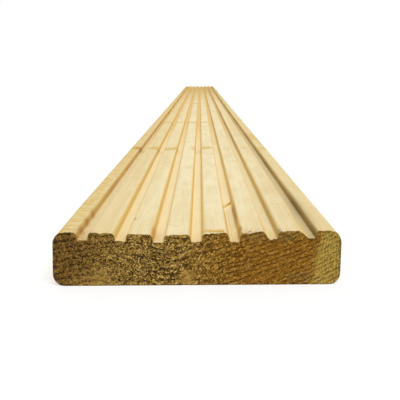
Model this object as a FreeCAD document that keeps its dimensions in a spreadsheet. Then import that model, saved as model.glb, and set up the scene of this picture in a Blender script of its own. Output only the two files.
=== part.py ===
"""Grooved softwood decking board: one straight planed plank, sawn square at both ends.

Frame: millimetres, +X across the width, +Y along the length, +Z up through the grooved face.
The origin is the centre of the flat underside.
"""

import FreeCAD, Part
import os
import Sketcher

NODE = "decking_board"
SHEET = "sizes"
TOLERANCE = 1e-4

# Driving dimensions, in millimetres and degrees
SIZES = {
    "board_length": 3000.0,
    "board_width": 145.0,
    "board_thickness": 28.0,
    "edge_radius": 6.0,
    "groove_pitch": 19.0,
    "groove_floor_width": 5.5,
    "groove_depth": 4.0,
    "groove_wall_angle": 8.0,
    "groove_root_radius": 0.8,
    "land_edge_radius": 1.5,
}

# A groove's width where its leaning walls meet the face, and with the rounding of the lands beside it
MOUTH = f"({SHEET}.groove_floor_width + 2 * {SHEET}.groove_depth * tan({SHEET}.groove_wall_angle * 1 deg))"
ROUNDED_MOUTH = f"({MOUTH} + 2 * {SHEET}.land_edge_radius)"

# Steps of the groove row: as many grooves as fit on the flat of the face between its rounded edges
GROOVE_STEPS = (
    f"floor(({SHEET}.board_width - 2 * {SHEET}.edge_radius - {ROUNDED_MOUTH})"
    f" / {SHEET}.groove_pitch)"
)


def make_sheet(doc):
    """The driving dimensions, one alias to a row."""
    sheet = doc.addObject("Spreadsheet::Sheet", SHEET)
    for row, (alias, value) in enumerate(SIZES.items(), start=1):
        sheet.set(f"A{row}", alias)
        sheet.set(f"B{row}", str(value))
        sheet.setAlias(f"B{row}", alias)
    doc.recompute()
    return sheet


def origin_part(body, role):
    """One of the body's own origin planes or axes."""
    return next(item for item in body.Origin.OriginFeatures if item.Role == role)


def section_sketch(body, name):
    """An empty sketch across the board: its horizontal is +X and its vertical is +Z."""
    sketch = body.newObject("Sketcher::SketchObject", name)
    sketch.AttachmentSupport = [(origin_part(body, "XZ_Plane"), "")]
    sketch.MapMode = "FlatFace"
    return sketch


def closed_outline(sketch, corners):
    """Straight lines from corner to corner, joined end to end."""
    count = len(corners)
    points = [FreeCAD.Vector(x, z, 0) for x, z in corners]
    for i in range(count):
        sketch.addGeometry(Part.LineSegment(points[i], points[(i + 1) % count]), False)
    for i in range(count):
        sketch.addConstraint(Sketcher.Constraint("Coincident", i, 2, (i + 1) % count, 1))


def drive(sketch, constraint, expression):
    """Adds a dimension to the sketch and binds it to the sheet."""
    index = sketch.addConstraint(constraint)
    sketch.setExpression(f"Constraints[{index}]", expression)


def pad_blank(body, sheet):
    """The squared blank: a plain rectangle on the ground line, drawn out both ways along the board."""
    width, thickness = sheet.board_width, sheet.board_thickness
    sketch = section_sketch(body, "blank_section")
    left, right = -width / 2, width / 2
    closed_outline(sketch, [(left, 0), (right, 0), (right, thickness), (left, thickness)])
    bottom, right_side, top, left_side = range(4)
    for line in (bottom, top):
        sketch.addConstraint(Sketcher.Constraint("Horizontal", line))
    for line in (right_side, left_side):
        sketch.addConstraint(Sketcher.Constraint("Vertical", line))
    sketch.addConstraint(Sketcher.Constraint("Symmetric", bottom, 1, bottom, 2, -1, 1))
    drive(sketch, Sketcher.Constraint("DistanceX", bottom, 1, bottom, 2, width), f"{SHEET}.board_width")
    drive(
        sketch,
        Sketcher.Constraint("DistanceY", right_side, 1, right_side, 2, thickness),
        f"{SHEET}.board_thickness",
    )
    blank = body.newObject("PartDesign::Pad", "blank")
    blank.Profile = sketch
    blank.SideType = "Symmetric"
    blank.setExpression("Length", f"{SHEET}.board_length")
    return blank


def cut_groove(body, sheet):
    """The first groove at the left: a trapezium open at the face, cut from end to end."""
    face = sheet.board_thickness
    depth = sheet.groove_depth
    half = sheet.groove_floor_width / 2
    sketch = section_sketch(body, "groove_section")
    closed_outline(sketch, [(-half, face - depth), (half, face - depth), (half, face), (-half, face)])
    floor, mouth = 0, 2
    middle = sketch.addGeometry(
        Part.LineSegment(FreeCAD.Vector(0, face - depth, 0), FreeCAD.Vector(0, face, 0)), True
    )
    for line in (floor, mouth):
        sketch.addConstraint(Sketcher.Constraint("Horizontal", line))
    sketch.addConstraint(Sketcher.Constraint("Vertical", middle))
    sketch.addConstraint(Sketcher.Constraint("Symmetric", floor, 1, floor, 2, middle, 1))
    sketch.addConstraint(Sketcher.Constraint("Symmetric", mouth, 1, mouth, 2, middle, 2))
    drive(
        sketch,
        Sketcher.Constraint("DistanceX", floor, 1, floor, 2, 2 * half),
        f"{SHEET}.groove_floor_width",
    )
    drive(sketch, Sketcher.Constraint("DistanceX", mouth, 2, mouth, 1, 2 * half), MOUTH)
    drive(sketch, Sketcher.Constraint("DistanceY", middle, 1, middle, 2, depth), f"{SHEET}.groove_depth")
    drive(sketch, Sketcher.Constraint("DistanceY", -1, 1, middle, 2, face), f"{SHEET}.board_thickness")
    drive(
        sketch,
        Sketcher.Constraint("DistanceX", middle, 2, -1, 1, half),
        f"{GROOVE_STEPS} * {SHEET}.groove_pitch / 2",
    )
    groove = body.newObject("PartDesign::Pocket", "groove")
    groove.Profile = sketch
    groove.SideType = "Symmetric"
    groove.setExpression("Length", f"{SHEET}.board_length")
    return groove


def repeat_groove(body, groove):
    """The row of grooves, evenly spaced across the face and centred on the board."""
    row = body.newObject("PartDesign::LinearPattern", "groove_row")
    row.Originals = [groove]
    row.Direction = (origin_part(body, "X_Axis"), [""])
    row.Mode = "Spacing"
    row.setExpression("Offset", f"{SHEET}.groove_pitch")
    row.setExpression("Occurrences", f"{GROOVE_STEPS} + 1")
    body.Tip = row
    return row


def lengthwise_edges(feature, height, inner, outer):
    """Names of the edges along the board at a height, between two distances from its middle line."""
    names = []
    for number, edge in enumerate(feature.Shape.Edges, start=1):
        box = edge.BoundBox
        straight_along = max(box.XLength, box.ZLength) < TOLERANCE < box.YLength
        distance = abs(box.Center.x)
        in_reach = inner - TOLERANCE < distance < outer + TOLERANCE
        if straight_along and in_reach and abs(box.Center.z - height) < TOLERANCE:
            names.append(f"Edge{number}")
    return names


def round_edges(body, name, base, edges, radius):
    """Rounds these edges of the feature before, with the radius bound to the sheet."""
    rounding = body.newObject("PartDesign::Fillet", name)
    rounding.Base = (base, edges)
    rounding.setExpression("Radius", f"{SHEET}.{radius}")
    body.Document.recompute()
    return rounding


def make_board(doc, sheet):
    """The board: squared blank, rounded long edges, a row of grooves, eased lands and groove roots."""
    body = doc.addObject("PartDesign::Body", NODE)
    body.Label = NODE
    face = sheet.board_thickness
    side = sheet.board_width / 2
    flat = side - sheet.edge_radius

    blank = pad_blank(body, sheet)
    doc.recompute()
    corners = lengthwise_edges(blank, 0, side, side) + lengthwise_edges(blank, face, side, side)
    planed = round_edges(body, "edge_rounding", blank, corners, "edge_radius")

    groove = cut_groove(body, sheet)
    row = repeat_groove(body, groove)
    doc.recompute()
    if row.Shape.Volume >= groove.Shape.Volume or groove.Shape.Volume >= planed.Shape.Volume:
        raise RuntimeError("a groove cut nothing")

    lands = lengthwise_edges(row, face, 0, flat - 2 * TOLERANCE)
    eased = round_edges(body, "land_edge_rounding", row, lands, "land_edge_radius")
    roots = lengthwise_edges(eased, face - sheet.groove_depth, 0, flat)
    round_edges(body, "groove_root_rounding", eased, roots, "groove_root_radius")
    return body


def check(doc, body):
    """Stops the build if a feature failed or the board isn't one sound solid."""
    failed = [item.Name for item in doc.Objects if {"Invalid", "Error"} & set(item.State)]
    if failed:
        raise RuntimeError(f"these features failed: {failed}")
    shape = body.Shape
    if shape.isNull() or not shape.isValid() or len(shape.Solids) != 1:
        raise RuntimeError("the board is not one valid solid")


def main():
    """Builds the board and writes its solid."""
    doc = FreeCAD.newDocument("decking")
    board = make_board(doc, make_sheet(doc))
    check(doc, board)
    os.makedirs("parts", exist_ok=True)
    board.Shape.exportStep(f"parts/{board.Label}.step")
    box = board.Shape.BoundBox
    print(f"{board.Label}: {box.XLength:.1f} x {box.YLength:.1f} x {box.ZLength:.1f} mm")


main()
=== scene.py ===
"""Looks of a grooved softwood decking board: planed and moulded faces, sawn ends, and a plain studio.

Metres, +X across the width, +Y along the length away from the camera, +Z up through the grooved face.
"""

import math

import bpy
from mathutils import Matrix, Vector


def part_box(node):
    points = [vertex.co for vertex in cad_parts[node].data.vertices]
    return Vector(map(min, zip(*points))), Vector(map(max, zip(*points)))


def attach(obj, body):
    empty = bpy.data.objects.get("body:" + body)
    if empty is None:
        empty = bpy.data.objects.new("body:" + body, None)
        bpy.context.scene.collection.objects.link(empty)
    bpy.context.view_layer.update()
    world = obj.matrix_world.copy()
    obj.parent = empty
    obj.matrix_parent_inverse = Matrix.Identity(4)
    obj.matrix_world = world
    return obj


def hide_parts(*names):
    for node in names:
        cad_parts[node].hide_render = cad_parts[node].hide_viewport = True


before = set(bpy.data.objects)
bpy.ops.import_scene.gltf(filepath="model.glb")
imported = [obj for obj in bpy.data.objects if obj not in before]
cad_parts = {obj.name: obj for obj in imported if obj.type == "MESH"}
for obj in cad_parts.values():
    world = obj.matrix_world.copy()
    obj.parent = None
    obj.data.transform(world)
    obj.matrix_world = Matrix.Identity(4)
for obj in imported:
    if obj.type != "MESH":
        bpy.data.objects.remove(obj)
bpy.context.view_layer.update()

bl_info = {
    "name": "Grooved decking board",
    "version": (1, 0, 0),
    "blender": (4, 5, 0),
    "location": "3D View > Sidebar > Decking",
    "description": "Builds a moulded softwood decking board with rough sawn ends, and a plain studio",
    "category": "Add Mesh",
}

NODE = "decking_board"
BODY = "root"
MM = 0.001

LOW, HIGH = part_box(NODE)
SIZE = HIGH - LOW

# How the board's mesh is divided: columns across, stations along, rows up
COLUMNS = 384
STATIONS = 66
ROWS = 52
# Share of the stations used up to each distance from the near end, in metres
STATION_PLAN = (
    (0.0, 0.0),
    (0.14, 0.016),
    (0.36, 0.076),
    (0.5, 0.096),
    (0.62, 0.36),
    (0.8, 2.75),
    (0.93, 2.99),
    (1.0, 3.0),
)
# Outlines of the section: points on a rounded corner, and the straight side beyond each rounded edge
ARC_POINTS = 8
SIDE_STEP = 1 * MM

# Growth rings on a sawn end: their step, and how high one lies, as shares of the width and of the rise
RING_STEP = 2.35 * MM
RING_RISE = 50 * MM
RING_DIP = (
    (0.0, 0.13), (0.2, 0.2), (0.3, 0.2), (0.4, 0.13), (0.46, 0.17), (0.52, 0.23), (0.6, 0.31), (0.8, 0.5),
    (0.88, 0.59), (1.0, 0.76),
)
# How far a ring waves and ripples
RING_WAVE = 1.8 * MM
RING_RIPPLE = 0.9 * MM
# Torn clumps on a sawn end: (size, share) of the two kinds, how far their borders stray, and their spread
# across the end, drawn out where the line is less steep
CLUMPS = ((0.74 * MM, 0.4), (0.46 * MM, 0.6))
CLUMP_STRAY = 0.3 * MM
CLUMP_SPREAD = (
    (0.0, 0.0), (0.2, 0.2), (0.34, 0.356), (0.5, 0.489), (0.6, 0.566), (0.9, 0.766), (1.0, 0.857),
)
# Shares across a sawn end: how deep it is torn, shown as painted shade in its pits; how pale its fibre tips
# are, partly as painted highlight; how clear its rings are
PIT_SHADE_SHARE = (
    (0.0, 0.95), (0.12, 0.95), (0.18, 1.0), (0.34, 0.9), (0.46, 0.8), (0.6, 0.62), (0.7, 0.38),
    (0.9, 0.33), (1.0, 0.33),
)
TIP_SHARE = (
    (0.0, 0.4), (0.12, 0.45), (0.2, 0.9), (0.44, 1.0), (0.55, 0.7), (0.7, 0.4), (0.88, 0.38), (1.0, 0.7),
)
RING_SHARE = (
    (0.0, 0.75), (0.14, 0.7), (0.22, 0.3), (0.3, 0.4), (0.36, 1.0), (0.45, 0.8), (0.52, 0.5), (0.65, 1.0),
    (0.87, 1.0), (0.93, 0.85), (1.0, 0.85),
)
# Spots on the end, with place and reach across and up: a fan of fibres round a branch, a patch rubbed
# smooth, and olive patches
FAN_PLACE = (-41.4 * MM, -2.6 * MM)
FAN_REACH = (26 * MM, 14 * MM)
SMOOTH_PLACE = (-5.3 * MM, 4 * MM)
SMOOTH_REACH = (5.5 * MM, 5 * MM)
OLIVE_PLACES = ((30 * MM, 25 * MM), (45 * MM, 26 * MM), (53 * MM, 4 * MM))
OLIVE_REACH = (9 * MM, 4 * MM)
# Where across the end the outer wood turns olive, and where that turns to heartwood
OLIVE_BORDER = (-66 * MM, -42 * MM)
HEART_BORDER = (-24 * MM, 22 * MM)
# Sapwood at the right of the end: its border, the border's softness and lean, and the step of its hatching
SAP_BORDER = 57.5 * MM
SAP_SOFTNESS = 2 * MM
SAP_LEAN = 0.23
HATCH_STEP = 1.2 * MM
# Where along the end's upper edge the fibre is palest, with a painted highlight, and how far that reaches
RIM_PLACE = -9 * MM
RIM_REACH = 7 * MM

# How far the face is tinted honey, darker and yellower towards the far end
HONEY_SHARE = (
    (0.0, 0.04), (0.03, 0.05), (0.08, 0.09), (0.2, 0.12), (0.36, 0.18), (0.45, 0.28), (0.56, 0.54),
    (0.8, 0.95), (1.0, 1.0),
)
# Where across the face it is palest, and the middle of its tint at the near end
PALE_PLACE = 7 * MM
TINT_PLACE = 8 * MM
# Growth lines: their step, how far they sway, and where across the face they stand out
LINE_STEP = 1.4 * MM
LINE_SWAY = 12 * MM
LINE_SHARE = (
    (0.0, 0.25), (0.14, 0.3), (0.18, 0.6), (0.24, 0.5), (0.34, 0.12), (0.5, 0.12), (0.66, 0.15),
    (0.75, 0.4), (0.78, 1.0), (0.87, 0.9), (0.93, 0.6), (1.0, 0.2),
)
# Branch whorls: distance of each from the near end, in metres, their half width and how far they bend
WHORLS = (0.348, 0.678, 0.933, 1.25, 1.56, 1.86, 2.17, 2.5, 2.8)
WHORL_REACH = 17 * MM
WHORL_BEND = 34 * MM
# How far the groove walls are stained and darkened with painted shade across the face
STAIN_AND_SHADE_SHARE = (
    (0.0, 0.5), (0.13, 0.46), (0.2, 0.08), (0.4, 0.06), (0.5, 0.03), (0.63, 0.12), (0.73, 0.36),
    (0.8, 0.36), (0.86, 1.0), (1.0, 1.0),
)
# Plain stains near the end: place across and along from it, reach both ways, share, colour
KNOT_REACH = (1.6 * MM, 5 * MM)
END_STAINS = (
    ((-59.6 * MM, 14 * MM), KNOT_REACH, 0.4, "groove_brown"),
    ((-60 * MM, 31 * MM), KNOT_REACH, 0.4, "groove_brown"),
    ((-60 * MM, 51 * MM), KNOT_REACH, 0.4, "groove_brown"),
    ((-34 * MM, 33 * MM), (0.8 * MM, 3 * MM), 0.7, "groove_brown"),
    ((-62 * MM, 346 * MM), (4.5 * MM, 9 * MM), 0.65, "knot"),
    ((22.4 * MM, 9 * MM), (1 * MM, 6 * MM), 0.6, "knot"),
)
# Other marks near the end: place across and along from it, and reach both ways
RESIN_PLACE = (-21.4 * MM, 11 * MM)
RESIN_REACH = (3 * MM, 11 * MM)
# A stain with a painted shadow along the foot of the rightmost groove's right wall
SPILL_AND_SHADOW_PLACE = (60 * MM, 62 * MM)
SPILL_AND_SHADOW_REACH = (3 * MM, 45 * MM)
TUFT_PLACE = (-58.5 * MM, 2 * MM)
TUFT_REACH = (5 * MM, 12 * MM)
# The dent in a groove wall, and the painted shade in it
DENT_PLACE = (41.8 * MM, 5 * MM)
DENT_REACH = (2 * MM, 4 * MM)
DENT_SHADE_REACH = (1.2 * MM, 4 * MM)
# The corner broken off a land, the splinters round it and the rusty fibres on it
BREAK_PLACE = (26.5 * MM, 0.0)
BREAK_REACH = (3.5 * MM, 5 * MM)
SPLINTER_REACH = (6 * MM, 6 * MM)
RUSTY_REACH = (4 * MM, 4 * MM)
# The golden band on a land and the fine cracks: middle across the face, and (outer, inner) half width
BAND_PLACE = 8.6 * MM
BAND_BORDER = (6.2 * MM, 5 * MM)
CRACK_PLACE = -18 * MM
CRACK_BORDER = (18 * MM, 15 * MM)
# Borders across the face of the cutter's chatter at the left and of the golden patches at the right
CHATTER_BORDER = (LOW.x + 14 * MM, LOW.x + 7 * MM)
PATCH_BORDER = (58 * MM, 62 * MM)
# How far wear runs along the board from the end: chips, slanting walls, the leaning side, the hollow,
# and the share of the hollow that stays beyond its run
CHIP_RUN = 6 * MM
SLANT_RUN = 70 * MM
LEAN_RUN = 60 * MM
HOLLOW_RUN = 600 * MM
HOLLOW_LEFT = 0.35
# How far wear reaches across the board: beside a slanting wall, and in from the leaning side
SLANT_REACH = 2.6 * MM
LEAN_REACH = 15 * MM
# Where across the board the walls begin to slant, and how far inside the row of grooves they slant most
SLANT_START = 4 * MM
SLANT_MARGIN = 8 * MM
# The tear: lengthwise run of its end for each unit across, length of its lip, and (outer, inner) half
# widths of its hollow and of its colour
TEAR_SKEW = 2.4
TEAR_LIP = 2 * MM
TEAR_BORDER = (2.8 * MM, 2.2 * MM)
TEAR_TINT_BORDER = (3.4 * MM, 2.6 * MM)
# Painted highlight on the torn step's lit edge before the tear's end; the wall at the right of the tear,
# and where along it the bruise with painted shade is
HIGHLIGHT_BEFORE = 7 * MM
TEAR_WALL = 2.9 * MM
BRUISE_AND_SHADE_START = (20 * MM, 45 * MM)
BRUISE_AND_SHADE_END = (78 * MM, 66 * MM)

# Strips of the bake map, as (lowest, highest) share of its height:
# face, underside, left side, right side, near end, far end
BAKE_STRIPS = (
    (0.005, 0.515), (0.525, 0.665), (0.675, 0.715), (0.725, 0.765), (0.775, 0.88), (0.89, 0.995),
)
STRIP_MARGIN = 0.004

# Fibres: the least share of the thickest and of the longest that one has, and how far a tuft tilts
THINNEST = 0.45
SHORTEST = 0.35
TUFT_TILT = 0.9
# Fibres of the upper edge: how far their roots stray sideways, inwards and down, how far they lean
# sideways and upwards, and their length at the far end as a share of that at the near one
FRINGE_STRAY = 0.3 * MM
FRINGE_SINK = 0.5 * MM
FRINGE_DROP = 0.6 * MM
FRINGE_SWAY = 0.5
FRINGE_LIFT = (-0.2, 0.8)
FAR_FRINGE = 0.4

# Depth of relief that only the shading shows: grain of the planed faces, clumps of the sawn ends
GRAIN_BUMP = 0.1 * MM
TORN_BUMP = 0.3 * MM
# Edges of the board that are sharper than this aren't shaded smooth
SHARP_ANGLE = math.radians(42)
# The floor as the camera sees it: its grey, and its own glow that makes it white
FLOOR_SEEN = (0.62, 0.62, 0.62)
FLOOR_GLOW = 0.42
# Nearest distance that the camera sees
CLIP_START = 10 * MM


def shade(red, green, blue):
    """A colour as it shows on screen, from 0 to 255 a channel, as Blender's linear values."""
    linear = []
    for channel in (red, green, blue):
        share = channel / 255
        linear.append(share / 12.92 if share <= 0.04045 else ((share + 0.055) / 1.055) ** 2.4)
    return tuple(linear)


def length_property(name, description, default):
    return bpy.props.FloatProperty(
        name=name, description=description, default=default, unit="LENGTH", precision=5
    )


def angle_property(name, description, degrees):
    return bpy.props.FloatProperty(
        name=name, description=description, default=math.radians(degrees), subtype="ANGLE"
    )


def number_property(name, description, default):
    return bpy.props.FloatProperty(name=name, description=description, default=default, min=0.0)


def count_property(name, description, default):
    return bpy.props.IntProperty(name=name, description=description, default=default, min=1)


def colour_property(name, description, default):
    return bpy.props.FloatVectorProperty(
        name=name, description=description, default=default, subtype="COLOR", size=3, min=0.0, max=1.0
    )


def own_properties(group):
    """The properties that a group adds to those that every group has."""
    return [item for item in group.bl_rna.properties if item.identifier not in ("rna_type", "name")]


def own_settings(group):
    """A group's settings as {label: value}."""
    return {item.name: getattr(group, item.identifier) for item in own_properties(group)}


class DeckingSection(bpy.types.PropertyGroup):
    """Sizes of the board and of its moulded section."""

    length: length_property("Length", "Length of the board", SIZE.y)
    width: length_property("Width", "Width of the board", SIZE.x)
    thickness: length_property("Thickness", "Thickness at the lands", SIZE.z)
    edge_radius: length_property("Edge Radius", "Rounding of the four long edges", 6 * MM)
    groove_pitch: length_property("Groove Pitch", "Distance from groove to groove", 19 * MM)
    groove_count: count_property("Groove Count", "Number of grooves", 7)
    groove_floor: length_property("Groove Floor", "Width of a groove at its floor", 5.5 * MM)
    groove_depth: length_property("Groove Depth", "Depth of a groove below the lands", 4 * MM)
    wall_angle: angle_property("Wall Angle", "Lean of a groove's walls", 8)
    root_radius: length_property("Root Radius", "Rounding where a wall meets the floor", 0.8 * MM)
    land_radius: length_property("Land Radius", "Rounding where a wall meets the land", 1.5 * MM)


class DeckingWear(bpy.types.PropertyGroup):
    """Relief that sawing, moulding and drying left on the board."""

    hollow: length_property("Hollow", "How far the face dips at the near end", 1.75 * MM)
    hollow_place: length_property("Hollow Place", "Where across the board the dip is deepest", -13 * MM)
    hollow_reach: length_property("Hollow Reach", "Half width of the dip", 28 * MM)
    shoulder_wear: length_property("Shoulder Wear", "Extra rounding of the lands' shoulders", 0.3 * MM)
    slant: length_property("Slant", "How far the torn groove walls lean over at the near end", 1.7 * MM)
    side_lean: length_property("Side Lean", "How far the left side leans in at the near end", 0.6 * MM)
    dent_depth: length_property("Dent Depth", "Depth of the dent in a groove wall", 0.9 * MM)
    break_depth: length_property("Break Depth", "Depth of the corner broken off a land", 1.1 * MM)
    saw_relief: length_property("Saw Relief", "Height of the torn fibres on the sawn ends", 0.45 * MM)
    chip_depth: length_property("Chip Depth", "Depth of the chips along the sawn edges", 0.65 * MM)
    grain_relief: length_property("Grain Relief", "Height of the raised grain on the face", 0.07 * MM)
    tear_length: length_property("Tear Length", "Length of the splinter torn out of a groove", 86 * MM)
    tear_depth: length_property("Tear Depth", "Depth of the torn splinter", 0.9 * MM)
    tear_groove: count_property("Tear Groove", "Groove with the tear, counted from the left", 5)
    seed: count_property("Seed", "Seed of the relief", 3)


class DeckingFibres(bpy.types.PropertyGroup):
    """Fibres that the saw left standing on the ends."""

    tuft_density: number_property("Tuft Density", "Tufts on a square metre of a sawn end", 2e6)
    tuft_length: length_property("Tuft Length", "Longest tuft on a sawn end", 0.6 * MM)
    fringe_count: count_property("Fringe Count", "Fibres at each point of the upper edge", 6)
    fringe_length: length_property("Fringe Length", "Longest fibre of the upper edge", 1.2 * MM)
    thickness: length_property("Thickness", "Thickest fibre", 0.28 * MM)
    seed: count_property("Seed", "Seed of the fibres", 7)


class DeckingColours(bpy.types.PropertyGroup):
    """Colours of the timber."""

    cream: colour_property("Cream", "Palest planed wood", shade(248, 234, 192))
    straw: colour_property("Straw", "Planed wood near the edges", shade(231, 208, 150))
    honey: colour_property("Honey", "Planed wood towards the far end", shade(202, 165, 84))
    latewood: colour_property("Latewood", "Growth lines on the planed faces", shade(208, 172, 102))
    groove_floor: colour_property("Groove Floor", "Floors of the grooves", shade(239, 222, 174))
    groove_amber: colour_property("Groove Amber", "Groove walls", shade(240, 209, 132))
    # Groove Brown and Groove Umber: stain that also carries painted shade on the groove walls that face the
    # middle
    groove_brown: colour_property("Groove Brown", "Stained groove wall at the left", shade(150, 86, 32))
    groove_umber: colour_property("Groove Umber", "Stained groove walls at the right", shade(118, 94, 46))
    knot: colour_property("Knot", "Knots and branch whorls in the grooves", shade(152, 106, 36))
    gold: colour_property("Gold", "Whorls and bruises on the lands", shade(216, 178, 86))
    rust: colour_property("Rust", "Torn wood near the end", shade(196, 138, 50))
    end_outer: colour_property("End Outer", "Sawn end at the left", shade(122, 87, 38))
    end_olive: colour_property("End Olive", "Sawn end left of the middle", shade(142, 109, 50))
    end_heart: colour_property("End Heart", "Sawn end in the heartwood", shade(152, 103, 28))
    end_sap: colour_property("End Sapwood", "Sawn end in the sapwood", shade(198, 168, 78))
    end_gold: colour_property("End Gold", "Smooth and fanned fibre of the sawn end", shade(198, 158, 82))
    # Besides ring lines, Pits and Fibre carry painted shade in the torn pits and along the lower and right
    # edges, and painted highlight on the fibre tips
    pit: colour_property("Pits", "Torn pits of the sawn end", shade(34, 22, 8))
    fibre: colour_property("Fibre", "Torn fibre tips", shade(222, 183, 86))


class DeckingStage(bpy.types.PropertyGroup):
    """Floor, light and camera."""

    floor_size: length_property("Floor Size", "Side of the floor", 60.0)
    floor: colour_property("Floor", "Floor as it lights the board", (0.8, 0.8, 0.8))
    sky_strength: number_property("Sky", "Even light from all round", 0.42)
    key_strength: number_property("Key", "Strength of the key light", 2.1)
    key_spread: angle_property("Key Spread", "Apparent size of the key light", 50)
    key_height: angle_property("Key Height", "Key light above the horizon", 58)
    key_side: angle_property("Key Side", "Key light right of the board's line", 14)
    camera_back: length_property("Camera Back", "Camera in front of the near end", 301.3 * MM)
    camera_side: length_property("Camera Side", "Camera right of the middle line", 2.3 * MM)
    camera_height: length_property("Camera Height", "Camera above the floor", 106.3 * MM)
    camera_pitch: angle_property("Camera Pitch", "Camera tilt downwards", 11.67)
    camera_turn: angle_property("Camera Turn", "Camera turned to the left", 0.06)
    camera_roll: angle_property("Camera Roll", "Dip of the camera's right hand", 0.393)
    camera_lens: bpy.props.FloatProperty(
        name="Lens", description="Focal length on a 36 mm sensor", default=56.31, subtype="DISTANCE_CAMERA"
    )


class Signal:
    """A node's output, with arithmetic that adds Math nodes to its tree."""

    def __init__(self, graph, socket):
        self.graph = graph
        self.socket = socket

    def __add__(self, other):
        return self.graph.math("ADD", self, other)

    def __sub__(self, other):
        return self.graph.math("SUBTRACT", self, other)

    def __rsub__(self, other):
        return self.graph.math("SUBTRACT", other, self)

    def __mul__(self, other):
        return self.graph.math("MULTIPLY", self, other)

    def __truediv__(self, other):
        return self.graph.math("DIVIDE", self, other)

    def __abs__(self):
        return self.graph.math("ABSOLUTE", self)

    def __pow__(self, other):
        return self.graph.math("POWER", self, other)

    def __gt__(self, other):
        return self.graph.math("GREATER_THAN", self, other)

    def __lt__(self, other):
        return self.graph.math("LESS_THAN", self, other)

    __radd__ = __add__
    __rmul__ = __mul__


class Graph:
    """Adds nodes to one tree. An input takes a plain value or another node's Signal."""

    def __init__(self, tree):
        self.tree = tree
        self.group_input = None

    def node(self, kind, inputs=None, **settings):
        made = self.tree.nodes.new(kind)
        for name, value in settings.items():
            setattr(made, name, value)
        for key, value in (inputs or {}).items():
            if isinstance(value, Signal):
                self.tree.links.new(value.socket, made.inputs[key])
            else:
                made.inputs[key].default_value = value
        return made

    def out(self, kind, inputs=None, output=0, **settings):
        return Signal(self, self.node(kind, inputs, **settings).outputs[output])

    def outputs(self, node, *names):
        """A node's outputs with these names, or all of them."""
        sockets = [node.outputs[name] for name in names] or node.outputs
        return [Signal(self, socket) for socket in sockets]

    def given(self, name):
        """One of the tree's own named inputs."""
        if self.group_input is None:
            self.group_input = self.tree.nodes.new("NodeGroupInput")
        return Signal(self, self.group_input.outputs[name])

    def give(self, **outputs):
        """Links the tree's own named outputs."""
        self.node("NodeGroupOutput", outputs)

    def math(self, operation, *values):
        return self.out("ShaderNodeMath", dict(enumerate(values)), operation=operation)

    def vector(self, x, y, z):
        return self.out("ShaderNodeCombineXYZ", {0: x, 1: y, 2: z})

    def split(self, vector):
        return self.outputs(self.node("ShaderNodeSeparateXYZ", {0: vector}))

    def ease(self, value, start, end, low=0.0, high=1.0):
        """Smoothly from low to high as the value goes from start to end, either of which may be larger."""
        inputs = {"Value": value, "From Min": start, "From Max": end, "To Min": low, "To Max": high}
        return self.out("ShaderNodeMapRange", inputs, interpolation_type="SMOOTHSTEP")

    def noise(self, x, y, z, scale, detail=2.0, roughness=0.5):
        place = self.vector(x, y, z)
        inputs = {"Vector": place, "Scale": scale, "Detail": detail, "Roughness": roughness}
        return self.out("ShaderNodeTexNoise", inputs)

    def random(self, value):
        """A fixed random share for each whole number."""
        return self.out("ShaderNodeTexWhiteNoise", {"W": value}, noise_dimensions="1D")

    def mix(self, factor, first, second):
        return self.out("ShaderNodeMix", {0: factor, 2: first, 3: second})

    def paint(self, factor, under, over):
        """One colour over another."""
        inputs = {0: factor, 6: colour(under), 7: colour(over)}
        return self.out("ShaderNodeMix", inputs, output=2, data_type="RGBA")

    def bell(self, *offsets):
        """1 where the offsets are 0, fading out as they near 1 and more either way."""
        return self.math("EXPONENT", sum(offset * offset for offset in offsets) * -1)

    def spot(self, x, y, place, reach):
        """A soft round patch: 1 at its place, fading out over its reach either way."""
        return self.bell((x - place[0]) / reach[0], (y - place[1]) / reach[1])

    def curve(self, value, points, handle="VECTOR"):
        """A line through the points, straight or with rounded handles, both axes from 0 to 1."""
        node = self.node("ShaderNodeFloatCurve", {"Value": value})
        line = node.mapping.curves[0]
        line.points[0].location = points[0]
        line.points[-1].location = points[-1]
        for x, y in points[1:-1]:
            line.points.new(x, y)
        for point in line.points:
            point.handle_type = handle
        node.mapping.update()
        return Signal(self, node.outputs[0])


def colour(value):
    """A property's colour with full alpha; a Signal as it is."""
    return value if isinstance(value, Signal) else (*value, 1.0)


def new_graph(name, kind, inputs, outputs):
    """A node group with named sockets, given as {name: socket type}."""
    tree = bpy.data.node_groups.new(name, kind)
    for label, socket_type in inputs.items():
        tree.interface.new_socket(label, in_out="INPUT", socket_type=socket_type)
    for label, socket_type in outputs.items():
        tree.interface.new_socket(label, in_out="OUTPUT", socket_type=socket_type)
    return Graph(tree)


FLOAT = "NodeSocketFloat"
INTEGER = "NodeSocketInt"
COLOUR = "NodeSocketColor"
GEOMETRY = "NodeSocketGeometry"
MATERIAL = "NodeSocketMaterial"


def sockets_for(values):
    """Sockets that take these values, as {name: socket type}."""
    kinds = {int: INTEGER, float: FLOAT, bpy.types.Material: MATERIAL}
    return {name: kinds[type(value)] for name, value in values.items()}


def plotted_curve(graph, count, x, z, radius):
    """A curve through points placed by their index, with rounded corners."""
    line = graph.out("GeometryNodeCurvePrimitiveLine")
    line = graph.out("GeometryNodeResampleCurve", {"Curve": line, "Count": count})
    place = graph.vector(x, 0.0, z)
    line = graph.out("GeometryNodeSetPosition", {"Geometry": line, "Position": place})
    rounded = {"Curve": line, "Count": ARC_POINTS, "Radius": radius, "Limit Radius": True}
    return graph.out("GeometryNodeFilletCurve", rounded, mode="POLY")


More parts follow.
